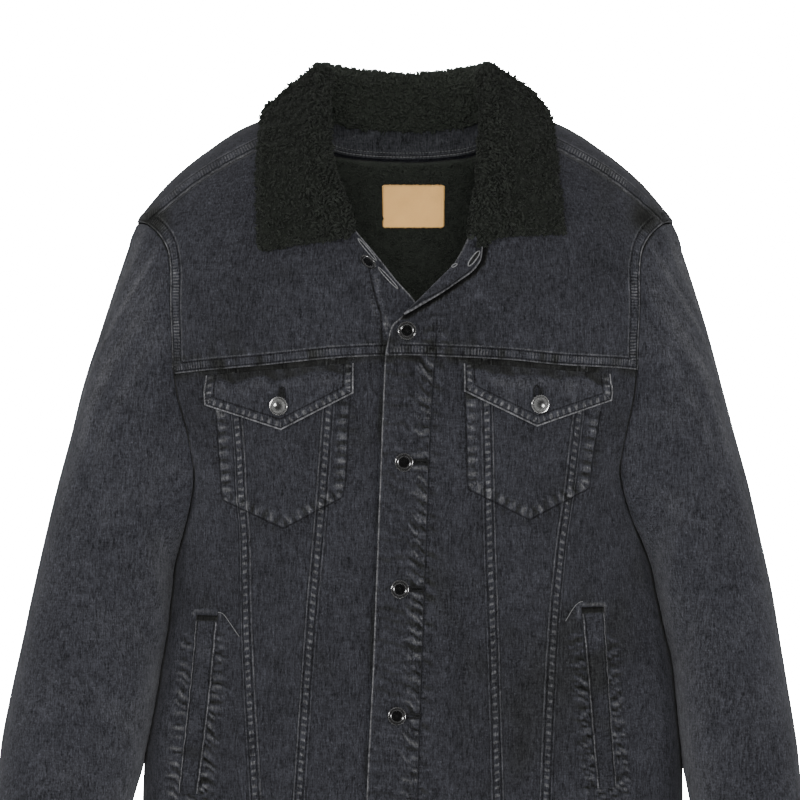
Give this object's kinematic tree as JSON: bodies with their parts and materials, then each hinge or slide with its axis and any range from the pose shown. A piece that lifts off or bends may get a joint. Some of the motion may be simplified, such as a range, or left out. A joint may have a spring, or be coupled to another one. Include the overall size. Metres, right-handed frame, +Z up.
{
  "type": "sherpa lined jacket",
  "caption": "Denim trucker jacket with a turned-down sherpa collar and sherpa lining, open at the neck, buttoned below, flap chest pockets and slanted welt pockets.",
  "frame": {"origin": "in the middle of the neck opening, at the height of the back neck seam, where a wearer holds it", "axes": "+Z up, +X towards the wearer's left, -Y out of the front"},
  "size_m": [0.7553, 0.2625, 0.7991],
  "materials": {
    "denim": "washed black cotton denim, matt",
    "sherpa": "curly dark pile",
    "label": "tan patch, matt, bare",
    "metal": "dark gunmetal, worn"
  },
  "bodies": {
    "root": {"back_center": "denim", "back_side_L": "denim", "back_side_R": "denim", "back_yoke": "denim", "collar_top": "sherpa", "collar_under": "denim", "cuff_L": "denim", "cuff_R": "denim", "cuff_button_L": "metal", "cuff_button_R": "metal", "facing_L": "denim", "flap_L": "denim", "flap_R": "denim", "flap_button_L": "metal", "flap_button_R": "metal", "front_button_1": "metal", "front_button_2": "metal", "front_button_3": "metal", "front_button_4": "metal", "front_button_5": "metal", "front_button_6": "metal", "front_center_L": "denim", "front_center_R": "denim", "front_mid_L": "denim", "front_mid_R": "denim", "front_side_L": "denim", "front_side_R": "denim", "front_yoke_L": "denim", "front_yoke_R": "denim", "label": "label", "lining_back": "sherpa", "lining_front_L": "sherpa", "lining_front_R": "sherpa", "neck_band": "denim", "placket_L": "denim", "placket_R": "denim", "sleeve_under_L": "denim", "sleeve_under_R": "denim", "sleeve_upper_L": "denim", "sleeve_upper_R": "denim", "waistband": "denim", "welt_L": "denim", "welt_R": "denim"}
  },
  "joints": []
}
